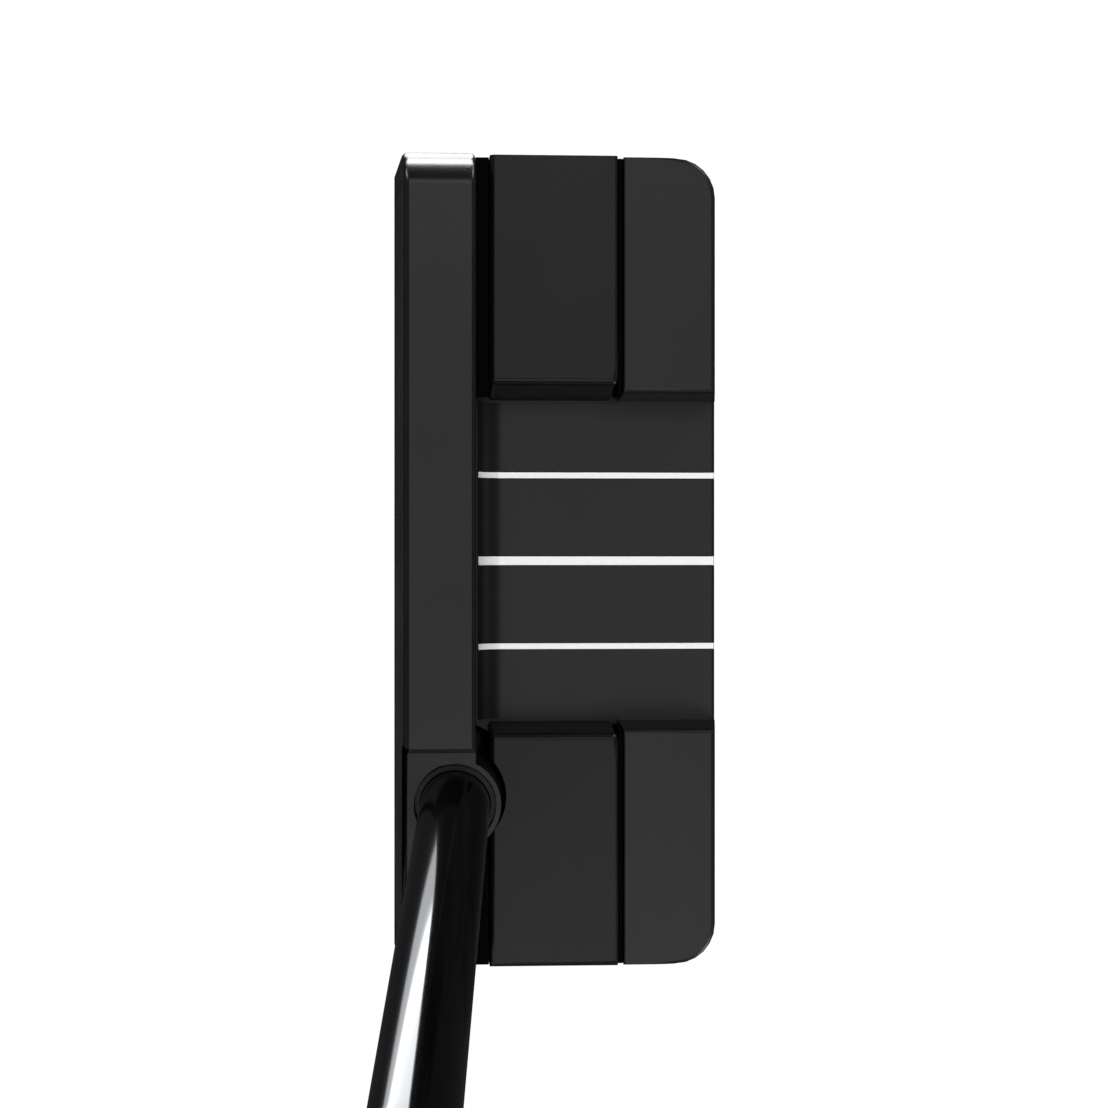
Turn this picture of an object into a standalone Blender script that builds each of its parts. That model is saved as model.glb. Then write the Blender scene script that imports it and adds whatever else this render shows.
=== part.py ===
"""Mallet putter, right-handed, built as an assembly of separate pieces.

Metres, +Z up. The face looks along -Y, the heel and the player are towards +X, and the origin is
the centre of the flat sole. Sizes below are in millimetres, and every mesh is scaled by MM once.
"""

import math

import bmesh
import bpy
from mathutils import Matrix, Vector

MM = 0.001

# Head, overall
HEAD_LENGTH = 110.4
LEADING_EDGE_Y = -21.9
FLANGE_REAR_Y = 23.3
LOFT = math.radians(4)
FIT_GAP = 0.3
THIN_GAP = 0.15

# Front body
BLADE_TOP = 25.0
BLADE_REAR_Y = -10.7
EDGE_LIFT = 1.5
TOE_RADIUS = 4.1
HEEL_RADIUS = 1.5
SHELF_TOP = 21.0
SHELF_STEP_X = 24.9
STEP_RUN = 0.9
LEDGE_TOP = 3.5
LEDGE_REAR_Y = -2.0

# Rear flange and wings
FLOOR_TOP = 8.0
STRIP_TOP = 17.5
STRIP_FRONT_Y = 9.58
REAR_DRAFT = 1.2
REAR_CORNER_RADIUS = 5.4
SOLE_CHAMFER = 2.0
CHANNEL_HALF_WIDTH = 22.4
CHANNEL_DRAFT = 0.57
FILLET_RADIUS = 4.0
FILLET_END = 195
WING_TOP = 18.0
WING_FRONT_Y = -8.7
WING_REAR_Y = 8.76
WING_SHELF = 1.1
WING_SHELF_DROP = 0.7
WING_EDGE = 0.5

# Sight lines
LINE_SPACING = 12.0
LINE_WIDTHS = {"sight_line_toe": 0.8, "sight_line_centre": 1.2, "sight_line_heel": 0.8}
LINE_DEPTH = 0.4
LINE_END = 205
LINE_END_GAP = 3

# Face insert
INSERT_HALF_LENGTH = 51.0
INSERT_BOTTOM = 3.0
INSERT_RIM = 1.4
INSERT_THICKNESS = 1.2
TAPE_THICKNESS = 0.15
CORE_HALF_LENGTH = 22.0
CORE_BOTTOM = 5.0
CORE_TOP = 21.0
CORE_THICKNESS = 2.2
INSERT_CORNER = 3.0

# Shaft and its bore
BORE_X = 32.8
BORE_Y = -13.45
HOSEL_LEAN = (0.2518, -0.0595)
SHAFT_TIP_RADIUS = 4.7
SHAFT_BUTT_RADIUS = 7.37
SHAFT_WALL = 0.6
SHAFT_BOTTOM_Z = 6.3
BEND_Z = 114.0
BEND_RADIUS = 100.0
LIE = math.radians(70)
BUTT_Z = 811.5
BORE_GAP = 0.25
BORE_BOTTOM_Z = 5.6
MOUTH_GAP = 0.85
MOUTH_DEPTH = 1.2
BOSS_WALL = 1.5
NOTCH_GAP = 0.6
BOND_HEIGHT = 0.6
BOND_GAP = 0.12
PLUG_LENGTH = 6.0
PLUG_GAP = 0.15

# Grip
GRIP_LENGTH = 267.0
GRIP_MOUTH_RADIUS = 10.2
GRIP_BUTT_RADIUS = 12.8
GRIP_FLAT = 0.80
GRIP_SWELL = 0.34
GRIP_SWELL_PLACE = 0.86
GRIP_SWELL_WIDTH = 0.2
GRIP_MOUTH_EASE = 1.2
GRIP_SHARES = (0, 0.015, 0.12, 0.25, 0.38, 0.5, 0.6, 0.7, 0.78, 0.86, 0.93, 1)
TAPE_WALL = 0.25
TAPE_SHARES = (0.01, 0.99)
CAP_THICKNESS = 3.0
CAP_EDGE_SHARE = 0.55
CAP_EDGE_EASE = 0.4
CAP_TOP_EASE = 1.8
VENT_RADIUS = 1.2

# Screws and sole weights
HEAD_RADIUS = 2.6
HEAD_HEIGHT = 2.0
HEAD_SINK = 0.35
SHANK_RADIUS = 1.25
SOCKET_RADIUS = 1.1
SOCKET_DEPTH_SHARE = 0.6
WING_SCREW_X = (30.0, 49.0)
WING_SCREW_Y = 2.6
WING_SCREW_LENGTH = 13.0
FLANGE_SCREW_X = (-44.0, -6.0, 44.0)
FLANGE_SCREW_Y = -6.0
FLANGE_SCREW_LENGTH = 6.5
WEIGHT_X = 42.0
WEIGHT_Y = 12.5
WEIGHT_RADIUS = 7.1
WEIGHT_HEIGHT = 5.3
WEIGHT_SINK = 0.4
WEIGHT_SCREW_HEAD_RADIUS = 3.6
WEIGHT_SCREW_HEAD_HEIGHT = 2.3
WEIGHT_SCREW_RADIUS = 2.0
WEIGHT_SCREW_LENGTH = 13.0
RING_SECTION_RADIUS = 0.5
RING_BELOW_TOP = 2.4

ROUND_STEPS = 32
SMALL_STEPS = 20
ARC_STEPS = 6

HALF_LENGTH = HEAD_LENGTH / 2
FLANGE_HALF_LENGTH = HALF_LENGTH - 0.1
CHANNEL_TOP_HALF_WIDTH = CHANNEL_HALF_WIDTH + CHANNEL_DRAFT
INSERT_RECESS = INSERT_THICKNESS + TAPE_THICKNESS + 2 * THIN_GAP
HOSEL_AXIS = Vector((*HOSEL_LEAN, 1)).normalized()
UPPER_AXIS = Vector((math.cos(LIE), 0, math.sin(LIE)))
BORE_RADIUS = SHAFT_TIP_RADIUS + BORE_GAP
BOSS_RADIUS = SHAFT_TIP_RADIUS + BOSS_WALL


# Materials


def finish(name, colour, roughness, metallic):
    made = bpy.data.materials.new(name)
    made.use_nodes = True
    shader = made.node_tree.nodes["Principled BSDF"]
    shader.inputs["Base Color"].default_value = (*colour, 1)
    shader.inputs["Roughness"].default_value = roughness
    shader.inputs["Metallic"].default_value = metallic
    return made


def make_finishes():
    return {
        "black_steel": finish("black_steel", (0.028, 0.028, 0.029), 0.34, 0.9),
        "black_aluminium": finish("black_aluminium", (0.03, 0.03, 0.031), 0.42, 0.8),
        "face": finish("face", (0.022, 0.022, 0.023), 0.5, 0.2),
        "white_paint": finish("white_paint", (0.85, 0.85, 0.85), 0.4, 0),
        "shaft_black": finish("shaft_black", (0.006, 0.006, 0.007), 0.06, 0.9),
        "rubber": finish("rubber", (0.02, 0.02, 0.02), 0.75, 0),
        "elastomer": finish("elastomer", (0.05, 0.05, 0.055), 0.7, 0),
        "bond": finish("bond", (0.03, 0.03, 0.03), 0.5, 0),
        "tape": finish("tape", (0.75, 0.73, 0.66), 0.8, 0),
        "screw_steel": finish("screw_steel", (0.05, 0.05, 0.052), 0.35, 0.95),
        "weight_steel": finish("weight_steel", (0.42, 0.42, 0.43), 0.3, 1),
    }


# Shape helpers: each takes millimetres


def circle(radius, steps, centre=(0, 0, 0), across=None, up=None):
    """Points round a centre, in the XY plane or in the plane of across and up."""
    across = across or Vector((1, 0, 0))
    up = up or Vector((0, 1, 0))
    turns = [2 * math.pi * i / steps for i in range(steps)]
    return [Vector(centre) + radius * (math.cos(t) * across + math.sin(t) * up) for t in turns]


def arc(centre, radius, start, end, steps=ARC_STEPS):
    """Points (a, b) of a plane arc from start to end, in degrees."""
    angles = [math.radians(start + (end - start) * i / steps) for i in range(steps + 1)]
    return [(centre[0] + radius * math.cos(a), centre[1] + radius * math.sin(a)) for a in angles]


def loft(rings, ring_of_rings=False):
    """A closed skin through rings of equal count, capped at its ends unless it comes back on itself."""
    bm = bmesh.new()
    loops = [[bm.verts.new(point) for point in ring] for ring in rings]
    following = loops[1:] + loops[:1] if ring_of_rings else loops[1:]
    for low, high in zip(loops, following):
        for i in range(len(low)):
            j = (i + 1) % len(low)
            bm.faces.new((low[i], low[j], high[j], high[i]))
    if not ring_of_rings:
        bm.faces.new(loops[0])
        bm.faces.new(loops[-1])
    bmesh.ops.recalc_face_normals(bm, faces=bm.faces[:])
    return bm


def cylinder(radius, low, high, steps=ROUND_STEPS):
    return loft([circle(radius, steps, (0, 0, z)) for z in (low, high)])


def washer(inner, outer, low, high, steps=ROUND_STEPS):
    profile = [(inner, low), (outer, low), (outer, high), (inner, high)]
    return loft([circle(r, steps, (0, 0, z)) for r, z in profile], ring_of_rings=True)


def prism(outline, axis, low, high):
    """An outline extruded along X, Y or Z. Its (a, b) are the two other coordinates, in XYZ order."""
    place = {
        "X": lambda a, b, c: (c, a, b),
        "Y": lambda a, b, c: (a, c, b),
        "Z": lambda a, b, c: (a, b, c),
    }[axis]
    return loft([[place(a, b, c) for a, b in outline] for c in (low, high)])


def box(low, high):
    outline = [(low[0], low[1]), (high[0], low[1]), (high[0], high[1]), (low[0], high[1])]
    return prism(outline, "Z", low[2], high[2])


def face_place(x, height, depth):
    """The point at this height up the face and this depth behind it."""
    across = Vector((0, math.cos(LOFT), -math.sin(LOFT)))
    up_slope = Vector((0, math.tan(LOFT), 1))
    foot = Vector((x, LEADING_EDGE_Y, EDGE_LIFT))
    return foot + up_slope * (height - EDGE_LIFT) + across * depth


def face_plate(outline, front, back):
    """A plate parallel to the face, between two depths behind it. Its outline is in (x, height)."""
    return loft([[face_place(x, height, depth) for x, height in outline] for depth in (front, back)])


def at_height(z):
    """The centre of the shaft's bore at this height."""
    rise = z - SHELF_TOP
    return (BORE_X + rise * HOSEL_LEAN[0], BORE_Y + rise * HOSEL_LEAN[1], z)


def upright_round(radius, low, high):
    """A round of level sections that follows the lean of the bore."""
    return loft([circle(radius, ROUND_STEPS, at_height(z)) for z in (low, high)])


# Object helpers


def mesh_of(name, bm):
    bmesh.ops.scale(bm, vec=(MM, MM, MM), verts=bm.verts[:])
    mesh = bpy.data.meshes.new(name)
    bm.to_mesh(mesh)
    bm.free()
    return mesh


def add(name, shape, material=None, parent=None, round_piece=False):
    mesh = mesh_of(name, shape) if isinstance(shape, bmesh.types.BMesh) else shape
    obj = bpy.data.objects.new(name, mesh)
    bpy.context.scene.collection.objects.link(obj)
    obj.parent = parent
    if material and not mesh.materials:
        mesh.materials.append(material)
    if round_piece:
        mesh.shade_smooth()
        mesh.set_sharp_from_angle(angle=math.radians(35))
    return obj


def empty(name, x, y, z):
    obj = bpy.data.objects.new(name, None)
    obj.location = (x * MM, y * MM, z * MM)
    bpy.context.scene.collection.objects.link(obj)
    return obj


def combine(obj, operation, shape, location=(0, 0, 0), axis=None):
    """Cuts, joins or keeps the common part of obj and a hidden helper shape."""
    helper = add(f"{obj.name}_helper_{len(obj.modifiers)}", shape)
    helper.location = Vector(location) * MM
    if axis:
        helper.rotation_mode = "QUATERNION"
        helper.rotation_quaternion = Vector((0, 0, 1)).rotation_difference(axis)
    helper.hide_render = True
    helper.display_type = "WIRE"
    modifier = obj.modifiers.new(f"step_{len(obj.modifiers)}", "BOOLEAN")
    modifier.operation = operation
    modifier.object = helper
    modifier.solver = "EXACT"


def round_edges(obj, width):
    modifier = obj.modifiers.new("edges", "BEVEL")
    modifier.width = width * MM
    modifier.segments = 2
    modifier.limit_method = "ANGLE"
    modifier.angle_limit = math.radians(40)


def settled_mesh(obj):
    """The mesh of obj with its modifiers worked in. The object and its helpers are removed."""
    graph = bpy.context.evaluated_depsgraph_get()
    mesh = bpy.data.meshes.new_from_object(obj.evaluated_get(graph))
    for modifier in obj.modifiers:
        bpy.data.objects.remove(modifier.object)
    bpy.data.objects.remove(obj)
    return mesh


# Front body: blade, heel shelf, shaft boss and the ledge under the flange


def blade_side_profile():
    return [
        (LEADING_EDGE_Y, EDGE_LIFT),
        (LEADING_EDGE_Y + (BLADE_TOP - EDGE_LIFT) * math.tan(LOFT), BLADE_TOP),
        (BLADE_REAR_Y, BLADE_TOP),
        (BLADE_REAR_Y, LEDGE_TOP),
        (LEDGE_REAR_Y, LEDGE_TOP),
        (LEDGE_REAR_Y, 0),
        (LEADING_EDGE_Y + EDGE_LIFT, 0),
    ]


def blade_front_outline():
    toe = arc((TOE_RADIUS - HALF_LENGTH, BLADE_TOP - TOE_RADIUS), TOE_RADIUS, 180, 90)
    heel = arc((HALF_LENGTH - HEEL_RADIUS, SHELF_TOP - HEEL_RADIUS), HEEL_RADIUS, 90, 0, 3)
    step = [(SHELF_STEP_X, BLADE_TOP), (SHELF_STEP_X + STEP_RUN, SHELF_TOP)]
    sole_right = [(HALF_LENGTH, SOLE_CHAMFER), (HALF_LENGTH - SOLE_CHAMFER, 0)]
    sole_left = [(SOLE_CHAMFER - HALF_LENGTH, 0), (-HALF_LENGTH, SOLE_CHAMFER)]
    return toe + step + heel + sole_right + sole_left


def insert_outline(edge):
    """The insert's outline in (x, height), grown by edge. It follows the step down to the heel shelf."""
    right = INSERT_HALF_LENGTH + edge
    low = INSERT_BOTTOM - edge
    high = BLADE_TOP - INSERT_RIM + edge
    shelf = SHELF_TOP - INSERT_RIM + edge
    corner = INSERT_CORNER
    step_x = SHELF_STEP_X - INSERT_RIM + edge
    return [
        *arc((-right + corner, low + corner), corner, 270, 180),
        *arc((-right + corner, high - corner), corner, 180, 90),
        (step_x, high),
        (step_x + STEP_RUN, shelf),
        *arc((right - corner, shelf - corner), corner, 90, 0),
        *arc((right - corner, low + corner), corner, 0, -90),
    ]


def core_outline(edge):
    side = CORE_HALF_LENGTH + edge
    return [
        (-side, CORE_BOTTOM - edge),
        (side, CORE_BOTTOM - edge),
        (side, CORE_TOP + edge),
        (-side, CORE_TOP + edge),
    ]


def make_front_body(finishes):
    blade = prism(blade_side_profile(), "X", -HALF_LENGTH - 1, HALF_LENGTH + 1)
    body = add("front_body", blade, finishes["black_steel"])
    reach = FLANGE_REAR_Y - LEADING_EDGE_Y
    combine(body, "INTERSECT", prism(blade_front_outline(), "Y", -reach, reach))
    combine(body, "UNION", upright_round(BOSS_RADIUS, LEDGE_TOP / 2, SHELF_TOP))
    bore = cylinder(BORE_RADIUS, 0, BLADE_TOP * 2)
    combine(body, "DIFFERENCE", bore, at_height(BORE_BOTTOM_Z), HOSEL_AXIS)
    mouth = cylinder(SHAFT_TIP_RADIUS + MOUTH_GAP, 0, BLADE_TOP)
    combine(body, "DIFFERENCE", mouth, at_height(SHELF_TOP - MOUTH_DEPTH), HOSEL_AXIS)
    combine(body, "DIFFERENCE", face_plate(insert_outline(THIN_GAP), -EDGE_LIFT, INSERT_RECESS))
    pocket = face_plate(core_outline(FIT_GAP), 0, INSERT_RECESS + CORE_THICKNESS + THIN_GAP)
    combine(body, "DIFFERENCE", pocket)
    for x in FLANGE_SCREW_X:
        combine(body, "DIFFERENCE", screw_hole(FLANGE_SCREW_LENGTH), (x, FLANGE_SCREW_Y, 0))
    return body


def make_insert(finishes):
    tape_front = INSERT_THICKNESS + THIN_GAP
    core_front = INSERT_RECESS + THIN_GAP - FIT_GAP / 2
    add("face_insert", face_plate(insert_outline(0), 0, INSERT_THICKNESS), finishes["face"])
    tape = face_plate(insert_outline(-THIN_GAP), tape_front, tape_front + TAPE_THICKNESS)
    add("insert_tape", tape, finishes["bond"])
    core = face_plate(core_outline(0), core_front, core_front + CORE_THICKNESS - FIT_GAP / 2)
    add("insert_core", core, finishes["elastomer"])


# Rear flange, wings and sight lines


def flange_outline(front_y, inset, rear_inset):
    """Plan outline of the flange behind front_y, with its rounded rear corners."""
    side = FLANGE_HALF_LENGTH - inset
    rear = FLANGE_REAR_Y - rear_inset
    radius = REAR_CORNER_RADIUS
    return [
        (-side, front_y),
        (side, front_y),
        *arc((side - radius, rear - radius), radius, 0, 90),
        *arc((radius - side, rear - radius), radius, 90, 180),
    ]


def floor_path(lift, rear, end=FILLET_END):
    """(y, z) from the rear to the blade, lift above the channel: flat floor, then the concave fillet."""
    centre = (BLADE_REAR_Y + FIT_GAP + FILLET_RADIUS, FLOOR_TOP + FILLET_RADIUS)
    rising = arc(centre, FILLET_RADIUS - lift, 270, end)
    return [(rear, FLOOR_TOP + lift), *rising]


def channel_cutter():
    """All that is open above the channel's floor, with walls that lean outwards."""
    beyond = FLANGE_REAR_Y + FLOOR_TOP
    above = BLADE_TOP + FLOOR_TOP
    path = floor_path(0, beyond)
    front = BLADE_REAR_Y - FLOOR_TOP
    profile = [*path, (front, path[-1][1]), (front, above), (beyond, above)]
    lean = CHANNEL_DRAFT / (STRIP_TOP - FLOOR_TOP)
    sides = []
    for side in (-1, 1):
        walls = [(side * (CHANNEL_HALF_WIDTH + lean * (z - FLOOR_TOP)), y, z) for y, z in profile]
        sides.append(walls)
    return loft(sides)


def make_flange(finishes):
    front = BLADE_REAR_Y + FIT_GAP
    levels = [
        (0, SOLE_CHAMFER, SOLE_CHAMFER),
        (SOLE_CHAMFER, 0, 0),
        (FLOOR_TOP, 0, 0),
        (STRIP_TOP, 0, REAR_DRAFT),
    ]
    rings = [[(x, y, z) for x, y in flange_outline(front, side, rear)] for z, side, rear in levels]
    flange = add("rear_flange", loft(rings), finishes["black_aluminium"])
    outside = HEAD_LENGTH
    under_low = (-outside, front - FLOOR_TOP, -FLOOR_TOP)
    under_high = (outside, LEDGE_REAR_Y + FIT_GAP, LEDGE_TOP + FIT_GAP)
    combine(flange, "DIFFERENCE", box(under_low, under_high))
    combine(flange, "DIFFERENCE", channel_cutter())
    seat_x = CHANNEL_HALF_WIDTH - FIT_GAP
    for low_x, high_x in ((-outside, -seat_x), (seat_x, outside)):
        seat_low = (low_x, front - FLOOR_TOP, FLOOR_TOP - FIT_GAP)
        seat_high = (high_x, STRIP_FRONT_Y, BLADE_TOP)
        combine(flange, "DIFFERENCE", box(seat_low, seat_high))
    combine(flange, "DIFFERENCE", upright_round(BOSS_RADIUS + NOTCH_GAP, -1, BLADE_TOP))
    beyond = FLANGE_REAR_Y + FLOOR_TOP
    for x, width in zip(line_places(), LINE_WIDTHS.values()):
        half = width / 2 + THIN_GAP
        slot = line_profile(-LINE_DEPTH - FIT_GAP, 1, beyond, LINE_END - LINE_END_GAP)
        combine(flange, "DIFFERENCE", prism(slot, "X", x - half, x + half))
    for x in FLANGE_SCREW_X:
        combine(flange, "DIFFERENCE", screw_hole(FLANGE_SCREW_LENGTH), (x, FLANGE_SCREW_Y, 0))
    for side in (-1, 1):
        for x in WING_SCREW_X:
            hole = screw_hole(WING_SCREW_LENGTH)
            combine(flange, "DIFFERENCE", hole, (side * x, WING_SCREW_Y, 0))
        combine(flange, "DIFFERENCE", weight_port(), (side * WEIGHT_X, WEIGHT_Y, 0))


def make_wing(name, side, finishes):
    base = FLOOR_TOP
    shelf_z = WING_TOP - WING_SHELF_DROP
    inner_top = CHANNEL_TOP_HALF_WIDTH
    profile = [
        (CHANNEL_HALF_WIDTH + THIN_GAP / 2, base),
        (HALF_LENGTH, base),
        (HALF_LENGTH, WING_TOP),
        (inner_top + WING_SHELF, WING_TOP),
        (inner_top, shelf_z),
    ]
    outline = [(side * x, z) for x, z in profile]
    wing = add(name, prism(outline, "Y", WING_FRONT_Y, WING_REAR_Y), finishes["black_steel"])
    round_edges(wing, WING_EDGE)
    if side > 0:
        combine(wing, "DIFFERENCE", upright_round(BOSS_RADIUS + NOTCH_GAP, 0, BLADE_TOP))
    for x in WING_SCREW_X:
        combine(wing, "DIFFERENCE", screw_hole(WING_SCREW_LENGTH), (side * x, WING_SCREW_Y, 0))


def line_places():
    return (-LINE_SPACING, 0, LINE_SPACING)


def line_profile(low, high, rear, end):
    """Side profile of a sight line's slot or filling, between two heights over the floor."""
    return floor_path(high, rear, end) + floor_path(low, rear, end)[::-1]


def make_sight_lines(finishes):
    for x, (name, width) in zip(line_places(), LINE_WIDTHS.items()):
        profile = line_profile(-LINE_DEPTH, 0, FLANGE_REAR_Y - THIN_GAP, LINE_END)
        filling = prism(profile, "X", x - width / 2, x + width / 2)
        add(name, filling, finishes["white_paint"])


# Screws and sole weights


def screw_hole(length):
    """Counterbore and hole for one sole screw, standing on the sole."""
    hole = SHANK_RADIUS + FIT_GAP
    head = HEAD_RADIUS + FIT_GAP
    seat = HEAD_SINK + HEAD_HEIGHT + THIN_GAP
    profile = [(head, -1), (head, seat), (hole, seat), (hole, HEAD_SINK + length + FIT_GAP)]
    return loft([circle(r, SMALL_STEPS, (0, 0, z)) for r, z in profile])


def socket_screw_mesh(name, head_radius, head_height, radius, length, socket, material):
    """A cap screw that stands on its head, with a hexagon socket."""
    chamfer = radius / 4
    profile = [
        (head_radius - chamfer, 0),
        (head_radius, chamfer),
        (head_radius, head_height),
        (radius, head_height),
        (radius, length - chamfer),
        (radius - chamfer, length),
    ]
    screw = add(name, loft([circle(r, SMALL_STEPS, (0, 0, z)) for r, z in profile]), material)
    combine(screw, "DIFFERENCE", cylinder(socket, -1, head_height * SOCKET_DEPTH_SHARE, 6))
    return settled_mesh(screw)


def make_sole_screws(finishes):
    wing_mesh = socket_screw_mesh(
        "wing_screw", HEAD_RADIUS, HEAD_HEIGHT, SHANK_RADIUS, WING_SCREW_LENGTH,
        SOCKET_RADIUS, finishes["screw_steel"],
    )
    flange_mesh = socket_screw_mesh(
        "flange_screw", HEAD_RADIUS, HEAD_HEIGHT, SHANK_RADIUS, FLANGE_SCREW_LENGTH,
        SOCKET_RADIUS, finishes["screw_steel"],
    )
    for side, end in ((-1, "toe"), (1, "heel")):
        for x, where in zip(WING_SCREW_X, ("inner", "outer")):
            screw = add(f"{end}_wing_screw_{where}", wing_mesh)
            screw.location = Vector((side * x, WING_SCREW_Y, HEAD_SINK)) * MM
    for x, where in zip(FLANGE_SCREW_X, ("toe", "middle", "heel")):
        screw = add(f"flange_screw_{where}", flange_mesh)
        screw.location = Vector((x, FLANGE_SCREW_Y, HEAD_SINK)) * MM


def weight_port():
    port = WEIGHT_RADIUS + FIT_GAP
    thread = WEIGHT_SCREW_RADIUS + FIT_GAP
    seat = WEIGHT_SINK + WEIGHT_HEIGHT + FIT_GAP
    end = WEIGHT_SINK + WEIGHT_SCREW_LENGTH + FIT_GAP
    profile = [(port, -1), (port, seat), (thread, seat), (thread, end)]
    return loft([circle(r, ROUND_STEPS, (0, 0, z)) for r, z in profile])


def make_weight(end, side, finishes):
    """One interchangeable weight: a slug with its seal, and the captive screw on its axis."""
    axis = empty(f"{end}_weight_axis", side * WEIGHT_X, WEIGHT_Y, 0)
    low = WEIGHT_SINK
    high = WEIGHT_SINK + WEIGHT_HEIGHT
    bore = WEIGHT_SCREW_RADIUS + FIT_GAP
    recess = WEIGHT_SCREW_HEAD_RADIUS + FIT_GAP
    step = low + WEIGHT_SCREW_HEAD_HEIGHT + FIT_GAP
    groove = WEIGHT_RADIUS - 2 * RING_SECTION_RADIUS
    groove_low = high - RING_BELOW_TOP
    groove_high = groove_low + 2 * RING_SECTION_RADIUS + FIT_GAP
    profile = [
        (recess, low),
        (WEIGHT_RADIUS - FIT_GAP, low),
        (WEIGHT_RADIUS, low + FIT_GAP),
        (WEIGHT_RADIUS, groove_low),
        (groove, groove_low),
        (groove, groove_high),
        (WEIGHT_RADIUS, groove_high),
        (WEIGHT_RADIUS, high),
        (bore, high),
        (bore, step),
        (recess, step),
    ]
    slug = loft([circle(r, ROUND_STEPS, (0, 0, z)) for r, z in profile], ring_of_rings=True)
    add(f"{end}_sole_weight", slug, finishes["weight_steel"], axis, True)
    ring_radius = groove + RING_SECTION_RADIUS + THIN_GAP
    ring_z = (groove_low + groove_high) / 2
    section = arc((ring_radius, ring_z), RING_SECTION_RADIUS, 0, 360, 8)[:-1]
    seal = loft([circle(r, ROUND_STEPS, (0, 0, z)) for r, z in section], ring_of_rings=True)
    add(f"{end}_weight_seal", seal, finishes["rubber"], axis, True)
    mesh = socket_screw_mesh(
        f"{end}_weight_screw", WEIGHT_SCREW_HEAD_RADIUS, WEIGHT_SCREW_HEAD_HEIGHT,
        WEIGHT_SCREW_RADIUS, WEIGHT_SCREW_LENGTH, WEIGHT_SCREW_RADIUS, finishes["screw_steel"],
    )
    screw = add(f"{end}_weight_screw", mesh, None, axis)
    screw.location = (0, 0, WEIGHT_SINK * MM)


# Shaft and grip


def shaft_route():
    """Centres, directions and distances of the shaft's rings: leaning tip, one bend, long upper run."""
    tip = Vector(at_height(SHAFT_BOTTOM_Z))
    angle = HOSEL_AXIS.angle(UPPER_AXIS)
    turn_axis = HOSEL_AXIS.cross(UPPER_AXIS).normalized()
    reach = BEND_RADIUS * math.tan(angle / 2)
    elbow = Vector(at_height(BEND_Z))
    start = elbow - HOSEL_AXIS * reach
    inward = turn_axis.cross(HOSEL_AXIS)
    centre = start + inward * BEND_RADIUS
    route = [(tip, HOSEL_AXIS)]
    for i in range(ARC_STEPS + 1):
        turn = Matrix.Rotation(angle * i / ARC_STEPS, 3, turn_axis)
        route.append((centre - turn @ inward * BEND_RADIUS, turn @ HOSEL_AXIS))
    bend_end = route[-1][0]
    run = (BUTT_Z - bend_end.z) / UPPER_AXIS.z
    grip_start = run - GRIP_LENGTH
    for along in (grip_start, run):
        route.append((bend_end + UPPER_AXIS * along, UPPER_AXIS))
    return route


def shaft_radius(z):
    share = max(0, (z - BEND_Z) / (BUTT_Z - BEND_Z))
    return SHAFT_TIP_RADIUS + (SHAFT_BUTT_RADIUS - SHAFT_TIP_RADIUS) * share


def shaft_ring(centre, direction, radius, steps=ROUND_STEPS):
    side = Vector((0, 1, 0)).cross(direction).normalized()
    return circle(radius, steps, centre, side, direction.cross(side))


def make_shaft(finishes):
    route = shaft_route()
    outer = [shaft_ring(c, d, shaft_radius(c.z)) for c, d in route]
    inner = [shaft_ring(c, d, shaft_radius(c.z) - SHAFT_WALL) for c, d in route]
    add("shaft", loft(outer + inner[::-1], True), finishes["shaft_black"], None, True)
    ring = washer(
        SHAFT_TIP_RADIUS + BOND_GAP,
        SHAFT_TIP_RADIUS + MOUTH_GAP - BOND_GAP,
        0,
        BOND_HEIGHT,
    )
    bond = add("shaft_bond", ring, finishes["bond"], None, True)
    bond.rotation_mode = "QUATERNION"
    bond.rotation_quaternion = Vector((0, 0, 1)).rotation_difference(HOSEL_AXIS)
    mouth_floor = Vector(at_height(SHELF_TOP - MOUTH_DEPTH))
    bond.location = (mouth_floor + HOSEL_AXIS * THIN_GAP) * MM
    plug_radius = SHAFT_TIP_RADIUS - SHAFT_WALL - PLUG_GAP
    plug = add("tip_plug", cylinder(plug_radius, 0, PLUG_LENGTH), finishes["elastomer"], None, True)
    plug.rotation_mode = "QUATERNION"
    plug.rotation_quaternion = bond.rotation_quaternion
    plug.location = (Vector(at_height(SHAFT_BOTTOM_Z)) + HOSEL_AXIS * FIT_GAP) * MM


def grip_ring(share, shrink=0.0):
    """The grip's section at a share of its length from the mouth: round below, with a flat in front."""
    centre, direction = shaft_route()[-1]
    centre = centre - direction * GRIP_LENGTH * (1 - share)
    front = Vector((-math.sin(LIE), 0, math.cos(LIE)))
    side = direction.cross(front)
    ease = share * share * (3 - 2 * share)
    radius = GRIP_MOUTH_RADIUS + (GRIP_BUTT_RADIUS - GRIP_MOUTH_RADIUS) * ease
    swell = 1 + GRIP_SWELL * math.exp(-(((share - GRIP_SWELL_PLACE) / GRIP_SWELL_WIDTH) ** 2))
    points = []
    for i in range(ROUND_STEPS):
        turn = 2 * math.pi * i / ROUND_STEPS
        forward = min(math.cos(turn), GRIP_FLAT) * radius
        forward = forward * swell if forward < 0 else forward
        sideways = math.sin(turn) * radius
        scale = 1 - shrink / radius
        points.append(centre + front * forward * scale + side * sideways * scale)
    return points


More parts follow.
